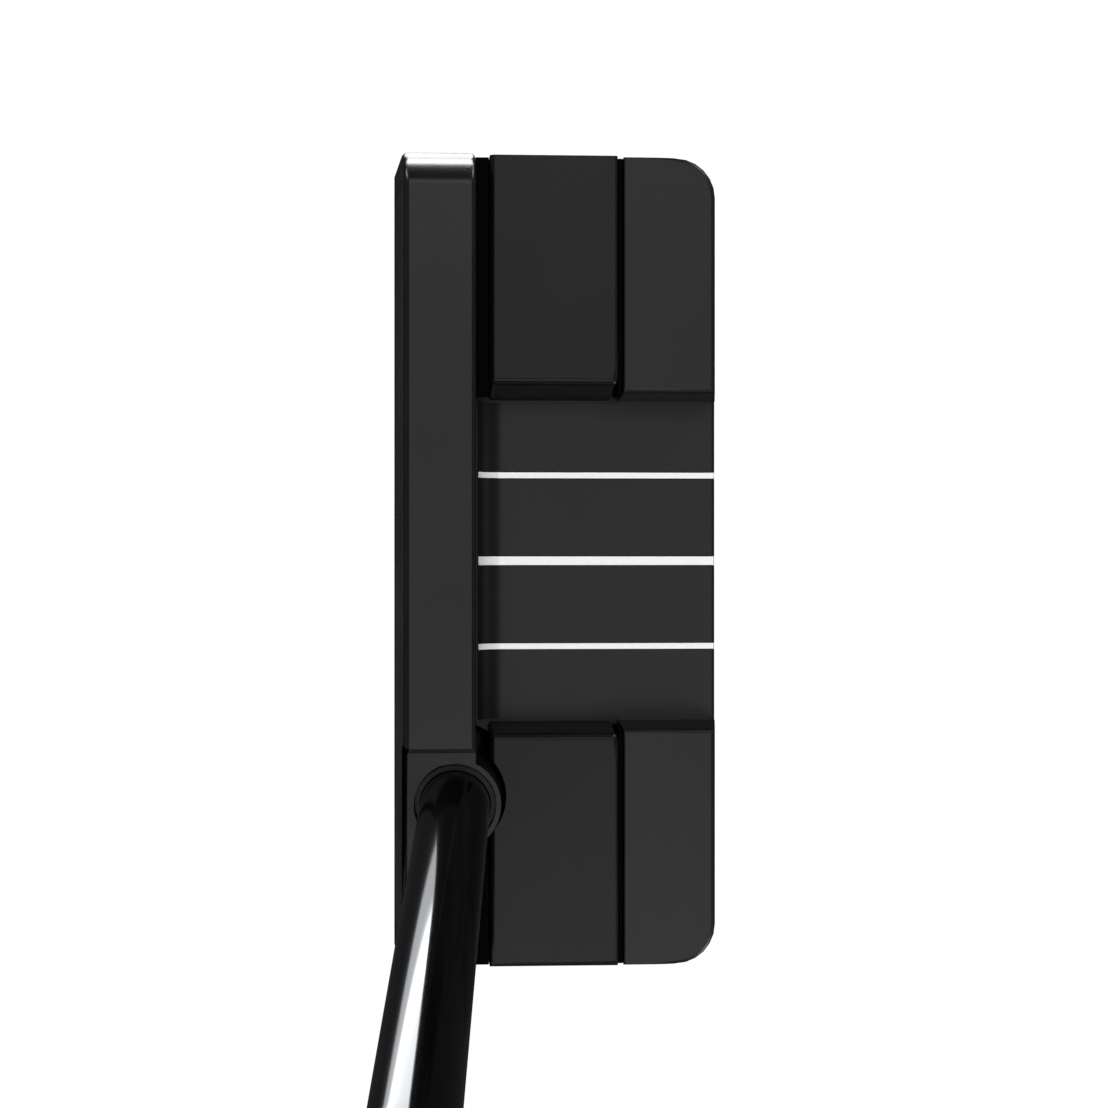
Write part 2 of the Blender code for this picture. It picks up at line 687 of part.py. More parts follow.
def make_grip(finishes):
    butt, direction = shaft_route()[-1]
    outer = [grip_ring(share, 0 if share else GRIP_MOUTH_EASE) for share in GRIP_SHARES]
    inner = []
    for share in (1, 0):
        centre = butt - direction * GRIP_LENGTH * (1 - share)
        clear = shaft_radius(centre.z) + 2 * THIN_GAP + TAPE_WALL
        inner.append(shaft_ring(centre, direction, clear))
    add("grip", grip_tube(outer, inner), finishes["rubber"], None, True)
    rings = []
    low_share, high_share = TAPE_SHARES
    walls = ((low_share, TAPE_WALL), (high_share, TAPE_WALL), (high_share, 0), (low_share, 0))
    for share, extra in walls:
        centre = butt - direction * GRIP_LENGTH * (1 - share)
        radius = shaft_radius(centre.z) + THIN_GAP + extra
        rings.append(shaft_ring(centre, direction, radius))
    add("grip_tape", loft(rings, True), finishes["tape"], None, True)
    lift = direction * FIT_GAP
    low = [point + lift for point in grip_ring(1)]
    edge = lift + direction * CAP_THICKNESS * CAP_EDGE_SHARE
    middle = [point + edge for point in grip_ring(1, CAP_EDGE_EASE)]
    top = lift + direction * CAP_THICKNESS
    high = [point + top for point in grip_ring(1, CAP_TOP_EASE)]
    cap = add("grip_cap", loft([low, middle, high]), finishes["rubber"], None, True)
    combine(cap, "DIFFERENCE", cylinder(VENT_RADIUS, -20, 20, 12), butt, direction)


def grip_tube(outer, inner):
    """Outer rings from mouth to butt, inner rings back, joined by the nearest points of each ring."""
    start = min(range(ROUND_STEPS), key=lambda i: (inner[0][i] - outer[-1][0]).length)
    second = min(range(ROUND_STEPS), key=lambda i: (inner[0][i] - outer[-1][1]).length)
    way = 1 if (second - start) % ROUND_STEPS < ROUND_STEPS / 2 else -1
    order = [(start + way * i) % ROUND_STEPS for i in range(ROUND_STEPS)]
    return loft(outer + [[ring[i] for i in order] for ring in inner], True)


def main():
    for obj in list(bpy.data.objects):
        bpy.data.objects.remove(obj)
    finishes = make_finishes()
    make_front_body(finishes)
    make_insert(finishes)
    make_flange(finishes)
    make_wing("toe_wing_block", -1, finishes)
    make_wing("heel_wing_block", 1, finishes)
    make_sight_lines(finishes)
    make_sole_screws(finishes)
    make_weight("toe", -1, finishes)
    make_weight("heel", 1, finishes)
    make_shaft(finishes)
    make_grip(finishes)


main()
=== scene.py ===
"""Looks of a mallet putter, piece by piece in the order it is put together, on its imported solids.

Metres, +Z up from the floor, the face towards -Y, the toe towards -X. Sizes in mm carry MM.
"""

import math

import bmesh
import bpy
from mathutils import Matrix, Vector


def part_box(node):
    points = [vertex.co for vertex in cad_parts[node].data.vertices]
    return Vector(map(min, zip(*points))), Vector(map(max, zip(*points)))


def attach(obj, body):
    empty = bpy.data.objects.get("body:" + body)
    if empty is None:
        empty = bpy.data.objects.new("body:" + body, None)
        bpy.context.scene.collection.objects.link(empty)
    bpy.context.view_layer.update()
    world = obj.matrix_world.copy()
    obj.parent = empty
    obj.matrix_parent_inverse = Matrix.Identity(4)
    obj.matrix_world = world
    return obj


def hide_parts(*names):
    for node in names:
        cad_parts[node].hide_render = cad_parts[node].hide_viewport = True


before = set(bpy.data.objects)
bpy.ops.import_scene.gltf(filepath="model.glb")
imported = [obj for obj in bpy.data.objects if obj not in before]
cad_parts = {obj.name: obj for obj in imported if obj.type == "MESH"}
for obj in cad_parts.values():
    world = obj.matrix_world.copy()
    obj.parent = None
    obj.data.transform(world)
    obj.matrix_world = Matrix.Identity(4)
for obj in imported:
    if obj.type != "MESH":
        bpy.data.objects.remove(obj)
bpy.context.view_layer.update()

# The studio. The camera looks straight down on the head, with the toe at the top. Softboxes hang
# overhead and stand at the sides. Cards lie on the floor in front of the face and beyond the toe:
# they draw the light line down the shaft and the bright toe. The camera sees white all round.
MM = 0.001
CAMERA_PLACE = Vector((-0.95, -16.9, 318.3)) * MM
CAMERA_TILT = math.radians(3.226)
CAMERA_LENS = 71.86
CARD_LEVEL = 0.6 * MM
CLUB_MIDDLE = (0.2, 0, 0.5)
SIDE_HEIGHT = 1.2
SIDE_BRIGHTNESS = 7

scene = bpy.context.scene
camera_data = bpy.data.cameras.new("camera")
camera_data.lens = CAMERA_LENS
camera_data.sensor_width = 36
camera_data.clip_start = 0.01
camera_data.clip_end = 100
camera = bpy.data.objects.new("camera", camera_data)
scene.collection.objects.link(camera)
facing = Matrix.Rotation(CAMERA_TILT, 4, "X") @ Matrix.Rotation(math.radians(90), 4, "Z")
camera.matrix_world = Matrix.Translation(CAMERA_PLACE) @ facing
scene.camera = camera
scene.view_settings.view_transform = "Standard"


def softbox(name, place, target, width, height, brightness, colour=(1, 1, 1)):
    """A rectangular light that looks equally bright from anywhere in front of it."""
    light = bpy.data.lights.new(name, "AREA")
    light.shape = "RECTANGLE"
    light.size = width
    light.size_y = height
    light.energy = brightness * math.pi * width * height
    light.color = colour
    lamp = bpy.data.objects.new(name, light)
    aim = (Vector(target) - Vector(place)).to_track_quat("-Z", "Y")
    lamp.matrix_world = Matrix.Translation(place) @ aim.to_matrix().to_4x4()
    lamp.visible_camera = False
    scene.collection.objects.link(lamp)
    return lamp


def floor_card(name, x, y, width, depth, brightness, colour=(1, 1, 1)):
    """A softbox that lies on the floor and shines up."""
    return softbox(name, (x, y, CARD_LEVEL), (x, y, 1), width, depth, brightness, colour)


def side_softbox(name, place, width):
    return softbox(name, place, CLUB_MIDDLE, width, SIDE_HEIGHT, SIDE_BRIGHTNESS)


def receivers(name, lamps):
    """A collection for the only pieces that these lamps light, each linked where it is made."""
    pieces = bpy.data.collections.new(name)
    for lamp in lamps:
        lamp.light_linking.receiver_collection = pieces
    return pieces


softbox("overhead_softbox", (0.07, 0, 1.6), (0.07, 0, 0), 1.74, 1.2, 0.56)
softbox("overhead_edge", (-0.62, 0, 1.59), (-0.62, 0, 0), 0.36, 1.2, 1)
softbox("overhead_heel_edge", (0.6, 0, 1.59), (0.6, 0, 0), 0.5, 1.2, 1.1)
card_tint = (0.94, 0.97, 1)
front_cards = [
    floor_card("front_card", -0.208, -0.173, 0.368, 0.3, 8.4, card_tint),
    floor_card("front_card_edge", -0.0165, -0.173, 0.015, 0.3, 12, card_tint),
    floor_card("front_card_fringe", -0.0015, -0.173, 0.015, 0.3, 2.6, card_tint),
]
side_softboxes = [
    side_softbox("side_softbox_heel_rear", (1.3, 1.4, 0.6), 0.5),
    side_softbox("side_softbox_toe_rear", (-1.4, 1.1, 0.6), 0.35),
    side_softbox("side_softbox_heel_front", (1.5, -1.2, 0.6), 0.5),
    side_softbox("side_softbox_toe_front", (-1.2, -1.4, 0.6), 0.35),
]
toe_cards = [
    floor_card("toe_card_near", -0.088, -0.016, 0.044, 0.024, 6),
    floor_card("toe_card_far", -0.305, -0.016, 0.39, 0.1, 20),
]
lit_by_front_cards = receivers("lit_by_front_cards", front_cards)
lit_from_sides = receivers("lit_from_sides", side_softboxes)
lit_by_toe_cards = receivers("lit_by_toe_cards", toe_cards)


class Wire:
    """A socket of a material. Sums and products of wires and numbers add their Math nodes."""

    def __init__(self, tree, socket=None):
        self.tree = tree
        self.socket = socket

    def node(self, kind, settings=None, inputs=None, output=0):
        made = self.tree.nodes.new("ShaderNode" + kind)
        for name, value in (settings or {}).items():
            if name == "stops":
                made.color_ramp.elements[0].position = value[0][0]
                made.color_ramp.elements[1].position = value[1][0]
                for element, (_, shade) in zip(made.color_ramp.elements, value):
                    element.color = (*shade, 1)
            else:
                setattr(made, name, value)
        for name, value in (inputs or {}).items():
            if isinstance(value, Wire):
                self.tree.links.new(value.socket, made.inputs[name])
            else:
                made.inputs[name].default_value = value
        return Wire(self.tree, made.outputs[output])

    def maths(self, operation, *values):
        return self.node("Math", {"operation": operation}, dict(enumerate(values)))

    def __add__(self, other):
        return self.maths("ADD", self, other)

    __radd__ = __add__

    def __mul__(self, other):
        return self.maths("MULTIPLY", self, other)

    __rmul__ = __mul__

    def __sub__(self, other):
        return self.maths("SUBTRACT", self, other)

    def __rsub__(self, other):
        return self.maths("SUBTRACT", other, self)

    def into(self, shader, socket):
        self.tree.links.new(self.socket, shader.inputs[socket])


world = bpy.data.worlds.new("studio")
scene.world = world
world.use_nodes = True
room = Wire(world.node_tree)
direction = room.node("TexCoord")
height = room.node("SeparateXYZ", None, {"Vector": direction}, "Z")
pale_walls_dark_ceiling = [(0.12, (0.34, 0.34, 0.35)), (0.42, (0.09, 0.09, 0.093))]
room_colour = room.node("ValToRGB", {"stops": pale_walls_dark_ceiling}, {"Fac": height})
dark_room = room.node("Background", None, {"Color": room_colour})
white_room = room.node("Background", None, {"Color": (1, 1, 1, 1)})
in_view = room.node("LightPath", output="Is Camera Ray")
room_light = room.node("MixShader", None, {0: in_view, 1: dark_room, 2: white_room})
room_light.into(world.node_tree.nodes["World Output"], "Surface")

FLOOR_HALF_WIDTH = 12
PAPER_GLOW = 1.02
floor_mesh = bpy.data.meshes.new("floor")
bm = bmesh.new()
bmesh.ops.create_grid(bm, x_segments=1, y_segments=1, size=FLOOR_HALF_WIDTH)
bm.to_mesh(floor_mesh)
bm.free()
floor = bpy.data.objects.new("floor", floor_mesh)
scene.collection.objects.link(floor)
paper = bpy.data.materials.new("white_paper")
paper.use_nodes = True
sheet = Wire(paper.node_tree)
lit_paper = sheet.node("Emission", None, {"Strength": PAPER_GLOW})
shaded_paper = sheet.node("BsdfDiffuse", None, {"Color": (0.1, 0.1, 0.105, 1)})
in_view = sheet.node("LightPath", output="Is Camera Ray")
paper_look = sheet.node("MixShader", None, {0: in_view, 1: shaded_paper, 2: lit_paper})
paper_look.into(paper.node_tree.nodes["Material Output"], "Surface")
floor_mesh.materials.append(paper)

# Front body. A steel blade with the hosel bored into its heel, milled in one piece, bead
# blasted and coated satin black. Its top edges are rounded, and the toe end more than the rest.
BLADE_FRONT_ROUND = 0.8 * MM
BLADE_REAR_ROUND = 0.7 * MM
BLADE_STEPS = 5
LOFT = math.radians(4)
FACE_NORMAL = Vector((0, -math.cos(LOFT), math.sin(LOFT)))
STEP_START = 24 * MM
STEP_END = 25 * MM
UNDER_SHELF = 20.4 * MM
OVER_SOLE = 2 * MM
OVER_STRIPS = 17 * MM
TOE_RUN = 5.2 * MM
TOE_DROP = 7.2 * MM
TOE_ROUND_STEPS = 24


def finish_of(name, colour, roughness, metallic=0, **constants):
    """A new material, its shader set with what is the same all over, and the piece's coordinates."""
    finish = bpy.data.materials.new(name)
    finish.use_nodes = True
    shader = finish.node_tree.nodes["Principled BSDF"]
    shader.inputs["Base Color"].default_value = (*colour, 1)
    shader.inputs["Roughness"].default_value = roughness
    shader.inputs["Metallic"].default_value = metallic
    for socket, value in constants.items():
        shader.inputs[socket.replace("_", " ")].default_value = value
    return finish, shader, Wire(finish.node_tree).node("TexCoord", output="Object")


def noise(place, scale, detail):
    return place.node("TexNoise", None, {"Vector": place, "Scale": scale, "Detail": detail})


def tint(shader, factor, stops):
    """Colours the surface from one stop to the next as the factor rises."""
    factor.node("ValToRGB", {"stops": stops}, {"Fac": factor}).into(shader, "Base Color")


def emboss(shader, height, strength, depth):
    relief = {"Height": height, "Strength": strength, "Distance": depth}
    height.node("Bump", None, relief).into(shader, "Normal")


def black_coat(name, shade, roughness, grain, depth, gloss=0.5):
    """Blasted metal under a black coat: a fine even grain, with faint clouding and handling."""
    colour = (shade, shade, shade * 1.05)
    finish, shader, place = finish_of(name, colour, roughness, Specular_IOR_Level=gloss)
    blast = noise(place, grain, 2)
    cloud = noise(place, 70, 3)
    (roughness - 0.05 + cloud * 0.07 + blast * 0.03).into(shader, "Roughness")
    pale = (shade * 1.25, shade * 1.25, shade * 1.3)
    tint(shader, cloud, [(0.35, (shade * 0.8,) * 3), (0.7, pale)])
    emboss(shader, blast, 0.25, depth)
    return finish


def merged_copy(node, shortest=0):
    """A bmesh of a solid, its corners joined and its flats' seams and shortest edges dissolved."""
    bm = bmesh.new()
    bm.from_mesh(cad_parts[node].data)
    bmesh.ops.remove_doubles(bm, verts=bm.verts[:], dist=0.002 * MM)
    if shortest:
        bmesh.ops.dissolve_degenerate(bm, dist=shortest, edges=bm.edges[:])
    flat = math.radians(0.3)
    bmesh.ops.dissolve_limit(bm, angle_limit=flat, verts=bm.verts[:], edges=bm.edges[:])
    return bm


def round_edges(bm, width, segments, wanted, sharper=25):
    """Rounds the wanted edges among those that turn by more than an angle."""
    limit = math.radians(sharper)
    edges = [e for e in bm.edges if e.is_manifold and e.calc_face_angle(0) > limit]
    bmesh.ops.bevel(
        bm,
        geom=[e for e in edges if wanted(e)],
        offset=width,
        segments=segments,
        profile=0.5,
        affect="EDGES",
        clamp_overlap=False,
        material=-1,
    )


def middle_of(edge):
    return (edge.verts[0].co + edge.verts[1].co) / 2


def beside(edge, normal):
    """True if one of the edge's faces looks that way."""
    return any(face.normal.dot(normal) > 0.995 for face in edge.link_faces)


def add_piece(name, bm, finish, nodes, body="club"):
    """Makes the bmesh a smooth-shaded object that stands for these solids and rides on a body."""
    mesh = bpy.data.meshes.new(name)
    bm.to_mesh(mesh)
    bm.free()
    stale = mesh.attributes.get("custom_normal")
    if stale:
        mesh.attributes.remove(stale)
    mesh.shade_smooth()
    mesh.set_sharp_from_angle(angle=math.radians(40))
    mesh.materials.append(finish)
    piece = bpy.data.objects.new(name, mesh)
    scene.collection.objects.link(piece)
    shading = piece.modifiers.new("even_shading", "WEIGHTED_NORMAL")
    shading.keep_sharp = True
    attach(piece, body)
    if nodes:
        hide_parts(*nodes)
    return piece


insert_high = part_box("face_insert")[1]


def on_face_outline(edge):
    """The front face's own outline, without the pocket that the insert sits in."""
    place = middle_of(edge)
    over_pocket = place.z > insert_high.z + 0.4 * MM
    past_pocket = abs(place.x) > insert_high.x + 0.5 * MM
    on_shelf = place.x > STEP_START and place.z > UNDER_SHELF
    outside_pocket = over_pocket or past_pocket or on_shelf
    return beside(edge, FACE_NORMAL) and outside_pocket and place.z > OVER_SOLE


def on_rear_outline(edge):
    """The blade's upper rear edges, as far as the step at the heel."""
    place = middle_of(edge)
    return beside(edge, Vector((0, 1, 0))) and place.z > OVER_STRIPS and place.x < STEP_END


def cut_out(bm, cutter):
    """The first bmesh with the second cut away from it."""
    shapes = []
    for name, shape in (("cut_piece", bm), ("cutter", cutter)):
        mesh = bpy.data.meshes.new(name)
        shape.to_mesh(mesh)
        shape.free()
        shapes.append(bpy.data.objects.new(name, mesh))
        scene.collection.objects.link(shapes[-1])
    cut = shapes[0].modifiers.new("cut", "BOOLEAN")
    cut.object = shapes[1]
    cut.solver = "EXACT"
    bpy.context.view_layer.update()
    evaluated = shapes[0].evaluated_get(bpy.context.evaluated_depsgraph_get())
    result = bmesh.new()
    result.from_mesh(evaluated.to_mesh())
    evaluated.to_mesh_clear()
    for shape in shapes:
        bpy.data.objects.remove(shape)
    return result


def toe_cutter(low, high):
    """What the toe's rounding takes off: all outside a quarter of an ellipse, across the blade."""
    cutter = bmesh.new()
    ends = [cutter.verts.new((low.x + TOE_RUN, y, high.z)) for y in (low.y * 2, -low.y)]
    bmesh.ops.spin(
        cutter,
        geom=ends + [cutter.edges.new(ends)],
        cent=(low.x + TOE_RUN, 0, high.z - TOE_RUN),
        axis=(0, 1, 0),
        angle=-math.pi / 2,
        steps=TOE_ROUND_STEPS,
    )
    for vert in cutter.verts:
        vert.co.z = high.z - (high.z - vert.co.z) * TOE_DROP / TOE_RUN
    grown = bmesh.ops.extrude_face_region(cutter, geom=cutter.faces[:])["geom"]
    away = [g for g in grown if isinstance(g, bmesh.types.BMVert)]
    bmesh.ops.translate(cutter, vec=(-TOE_RUN, 0, TOE_RUN), verts=away)
    bmesh.ops.recalc_face_normals(cutter, faces=cutter.faces)
    return cutter


steel_coat = black_coat("satin_black_steel", 0.0055, 0.27, 5200, 0.03 * MM)
bm = cut_out(merged_copy("front_body"), toe_cutter(*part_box("front_body")))
round_edges(bm, BLADE_FRONT_ROUND, BLADE_STEPS, on_face_outline)
round_edges(bm, BLADE_REAR_ROUND, BLADE_STEPS, on_rear_outline)
front_body = add_piece("front_body_detail", bm, steel_coat, ["front_body"])
lit_by_toe_cards.objects.link(front_body)
lit_from_sides.objects.link(front_body)

# Rear flange. The aluminium sole and back of the head: a channel with a cove up to the blade,
# seats for the wing blocks and a raised strip behind each. Milled and anodised satin black.
STRIP_ROUND = 0.6 * MM
STRIP_FRONT_ROUND = 0.3 * MM
FLOOR_REAR_ROUND = 0.5 * MM
BEHIND_WINGS = 10 * MM
STRIP_END = 54.5 * MM
STRIP_REAR = 17 * MM
FLOOR_LEVEL = 8 * MM
FLOOR_REAR = 23 * MM
FLOOR_HALF = 22.3 * MM
SHORTEST_EDGE = 0.005 * MM
CLOSE = 0.05 * MM
strip_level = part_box("rear_flange")[1].z - CLOSE


def on_strip_rim(edge):
    """The strips' tops at the rear, at the corners and along the channel."""
    place = middle_of(edge)
    at_end = abs(place.x) > STRIP_END and place.y < STRIP_REAR
    return place.z > strip_level and place.y > BEHIND_WINGS and not at_end


def on_strip_front(edge):
    place = middle_of(edge)
    return place.z > strip_level and place.y < BEHIND_WINGS


def on_floor_rear(edge):
    """The channel floor's rear edge, between the sight lines."""
    place = middle_of(edge)
    low_and_rear = abs(place.z - FLOOR_LEVEL) < CLOSE and place.y > FLOOR_REAR
    return low_and_rear and abs(place.x) < FLOOR_HALF


flange_coat = black_coat("satin_black_anodising", 0.006, 0.36, 6800, 0.03 * MM)
bm = merged_copy("rear_flange", SHORTEST_EDGE)
round_edges(bm, STRIP_ROUND, 4, on_strip_rim)
round_edges(bm, STRIP_FRONT_ROUND, 3, on_strip_front)
round_edges(bm, FLOOR_REAR_ROUND, 4, on_floor_rear)
rear_flange = add_piece("rear_flange_detail", bm, flange_coat, ["rear_flange"])
lit_from_sides.objects.link(rear_flange)

# Wing blocks. Two steel blocks that fill the seats between blade and strips, screwed up from
# the sole. Their top edges are rounded, the wall along the channel leans back, and the heel one is
# notched to clear the shaft.
WING_ROUND = 0.8 * MM
WING_REAR_ROUND = 0.45 * MM
WING_CORNER = 0.7 * MM
WALL_LEAN = {"toe": 1.5 * MM, "heel": 1 * MM}
BORE_PLACE = Vector((32.8, -13.45, 21)) * MM
BORE_LEAN = Vector((0.2518, -0.0595, 1)).normalized()
NOTCH_RADIUS = 6.8 * MM
NOTCH_DEPTH = 40 * MM
BY_CHANNEL = 25 * MM
HAIR = 0.01 * MM


def block(low, high):
    """A box from its lowest corner to its highest."""
    bm = bmesh.new()
    bmesh.ops.create_cube(bm, size=1)
    bmesh.ops.scale(bm, vec=[b - a for a, b in zip(low, high)], verts=bm.verts)
    bmesh.ops.translate(bm, vec=[(a + b) / 2 for a, b in zip(low, high)], verts=bm.verts)
    return bm


def wing_block(low, high, side, lean):
    """A block with its wall on the channel leaning back and its top rounded."""
    inner, outer = sorted((low.x, high.x), key=abs)
    top = high.z - HAIR

    def on_channel_corner(edge):
        upright = abs(edge.verts[0].co.z - edge.verts[1].co.z) > (high.z - low.z) / 2
        return upright and abs(middle_of(edge).x) < BY_CHANNEL

    def on_wing_rear(edge):
        return all(v.co.z > top and v.co.y > high.y - CLOSE for v in edge.verts)

    def on_wing_top(edge):
        """The top's outline, but for its rear and, on the toe wing, its end."""
        flat = all(v.co.z > top for v in edge.verts)
        toe_end = side < 0 and abs(middle_of(edge).x - outer) < CLOSE
        return flat and not toe_end and not on_wing_rear(edge)

    bm = block(low, high)
    leaning = [v for v in bm.verts if abs(v.co.x - inner) < HAIR and v.co.z > top]
    bmesh.ops.translate(bm, vec=(side * lean, 0, 0), verts=leaning)
    round_edges(bm, WING_CORNER, 4, on_channel_corner)
    round_edges(bm, WING_ROUND, 6, on_wing_top, sharper=15)
    round_edges(bm, WING_REAR_ROUND, 4, on_wing_rear, sharper=15)
    return bm


def notch_cutter():
    """The cylinder round the shaft that the heel wing is cut back from."""
    cutter = bmesh.new()
    lean = Vector((0, 0, 1)).rotation_difference(BORE_LEAN).to_matrix().to_4x4()
    bmesh.ops.create_cone(
        cutter,
        cap_ends=True,
        segments=96,
        radius1=NOTCH_RADIUS,
        radius2=NOTCH_RADIUS,
        depth=NOTCH_DEPTH,
        matrix=Matrix.Translation(BORE_PLACE) @ lean,
    )
    return cutter


wing_coat = black_coat("satin_black_wing", 0.0045, 0.34, 4300, 0.04 * MM, 0.37)
for end, side in (("toe", -1), ("heel", 1)):
    bm = wing_block(*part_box(f"{end}_wing_block"), side, WALL_LEAN[end])
    if end == "heel":
        bm = cut_out(bm, notch_cutter())
    wing = add_piece(f"{end}_wing_detail", bm, wing_coat, [f"{end}_wing_block"])
    lit_from_sides.objects.link(wing)

# Joint strips. Elastomer cords pressed into the seams round the wing blocks, a
# millimetre below the tops, so that the screwed blocks don't ring. Their near-black, dull colour is
# painted shade: it stands in for the shade deep down in the seams.
SEAM_TOP = 16.9 * MM
SEAM_DEPTH = 8 * MM
SEAM_CROWN = 0.25 * MM
SEAMS = {
    "toe_front_seam": (-55.0, -22.9, -10.62, -8.78),
    "toe_rear_seam": (-55.0, -22.9, 8.84, 9.5),
    "heel_front_seam": (40.3, 55.0, -10.62, -8.78),
    "heel_rear_seam": (22.9, 55.0, 8.84, 9.5),
}


def elastomer(name, shade, roughness, gloss=0.5):
    """Rubber or urethane from a mould: a finely pitted skin with a faint bloom."""
    finish, shader, place = finish_of(name, (shade,) * 3, roughness, Specular_IOR_Level=gloss)
    skin = noise(place, 3500, 4)
    bloom = noise(place, 60, 3)
    (roughness - 0.06 + bloom * 0.12).into(shader, "Roughness")
    tint(shader, bloom, [(0.3, (shade * 0.75,) * 3), (0.75, (shade * 1.4,) * 3)])
    emboss(shader, skin, 0.3, 0.03 * MM)
    return finish


def on_long_top(edge):
    long = abs(edge.verts[0].co.x - edge.verts[1].co.x) > MM
    return long and middle_of(edge).z > SEAM_TOP - HAIR


# Near-black with little gloss: painted shade for the depth of the seams, not the cords' own colour.
seam_shade_rubber = elastomer("seam_painted_shade_elastomer", 0.002, 0.8, 0.12)
for name, (x_low, x_high, y_low, y_high) in SEAMS.items():
    low = (x_low * MM, y_low * MM, SEAM_TOP - SEAM_DEPTH)
    bm = block(low, (x_high * MM, y_high * MM, SEAM_TOP))
    round_edges(bm, SEAM_CROWN, 4, on_long_top)
    add_piece(name, bm, seam_shade_rubber, [])

# Face insert. A moulded urethane plate with rows of small raised domes, bonded into the face
# over a softer core.
DOME_RADIUS = 0.36 * MM
DOME_HEIGHT = 0.12 * MM
DOME_PITCH = 1.25 * MM
ROW_PITCH = DOME_PITCH * 0.866
FIRST_ROW = 1.3 * MM
ROW_MARGINS = 2 * MM
FIRST_COLUMN = 1.2 * MM
COLUMN_MARGINS = 2.4 * MM
UNDER_STEP = 18.6 * MM
CORNER_START = 49 * MM
CORNER_MARGIN = 2.2 * MM
urethane = elastomer("moulded_urethane", 0.09, 0.42)
low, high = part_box("face_insert")
bm = merged_copy("face_insert")
bmesh.ops.recalc_face_normals(bm, faces=bm.faces)
front_faces = [f for f in bm.faces if f.normal.dot(FACE_NORMAL) > 0.99]
on_face = front_faces[0].calc_center_median()
tilt = Matrix.Rotation(-LOFT, 4, "X")
flatten = Matrix.Diagonal((DOME_RADIUS, DOME_HEIGHT, DOME_RADIUS, 1))
dome = bmesh.new()
bmesh.ops.create_icosphere(dome, subdivisions=1, radius=1, matrix=tilt @ flatten)
dome_mesh = bpy.data.meshes.new("dome")
dome.to_mesh(dome_mesh)
dome.free()
shift = Vector()
for row in range(int((high.z - low.z - ROW_MARGINS) / ROW_PITCH)):
    z = low.z + FIRST_ROW + row * ROW_PITCH
    y = on_face.y + (z - on_face.z) * math.tan(LOFT)
    for column in range(int((high.x - low.x - COLUMN_MARGINS) / DOME_PITCH)):
        x = low.x + FIRST_COLUMN + (column + (row % 2) / 2) * DOME_PITCH
        over_heel = x > STEP_START and z > UNDER_STEP
        by_edge = z < low.z + CORNER_MARGIN or z > high.z - CORNER_MARGIN
        if over_heel or (abs(x) > CORNER_START and by_edge):
            continue
        dome_mesh.transform(Matrix.Translation(Vector((x, y, z)) - shift))
        shift = Vector((x, y, z))
        bm.from_mesh(dome_mesh)
add_piece("face_insert_detail", bm, urethane, ["face_insert"])


def coat_node(node, finish):
    """Gives a solid that stays in view its finish."""
    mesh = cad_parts[node].data
    mesh.materials.clear()
    mesh.materials.append(finish)


coat_node("insert_core", elastomer("soft_core_elastomer", 0.05, 0.6))

# Insert tape. Double-sided foam tape behind the insert, cut to its outline. It holds the insert
# to the floor of the pocket.


def bonding(name, colour, roughness):
    """Tape or set glue, with a fibrous skin."""
    finish, shader, place = finish_of(name, colour, roughness)
    fibre = noise(place, 900, 5)
    (roughness - 0.1 + fibre * 0.2).into(shader, "Roughness")
    emboss(shader, fibre, 0.4, 0.05 * MM)
    return finish


coat_node("insert_tape", bonding("foam_tape", (0.35, 0.34, 0.3), 0.7))

# Sight lines. White enamel run into three milled slots, from the cove to the rear edge. A lamp of
# their own keeps them bright, and no gloss mirrors them.
enamel, shader, place = finish_of("white_enamel", (0.86, 0.86, 0.85), 0.35)
flow = noise(place, 800, 3)
(0.28 + flow * 0.14).into(shader, "Roughness")
tint(shader, flow, [(0.3, (0.84, 0.84, 0.83)), (0.7, (0.9, 0.9, 0.89))])
emboss(shader, flow, 0.2, 0.05 * MM)
paint_light = softbox("paint_light", (0, 0.2, 1.2), (0, 0, 0), 0.6, 0.6, 7.5)
white_paint = receivers("white_paint", [paint_light])
for where in ("toe", "centre", "heel"):
    coat_node(f"sight_line_{where}", enamel)
    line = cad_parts[f"sight_line_{where}"]
    line.visible_glossy = False
    white_paint.objects.link(line)

# Sole screws. Blackened steel cap screws with hexagon sockets: four hold the wing blocks and
# three hold the flange to the front body.
SCREW_SIDES = 48


def screw_metal(name, shade, roughness):
    finish, shader, place = finish_of(name, (shade,) * 3, roughness, 1)
    turning = noise(place, 1500, 4)
    (roughness - 0.08 + turning * 0.16).into(shader, "Roughness")
    emboss(shader, turning, 0.25, 0.02 * MM)
    return finish


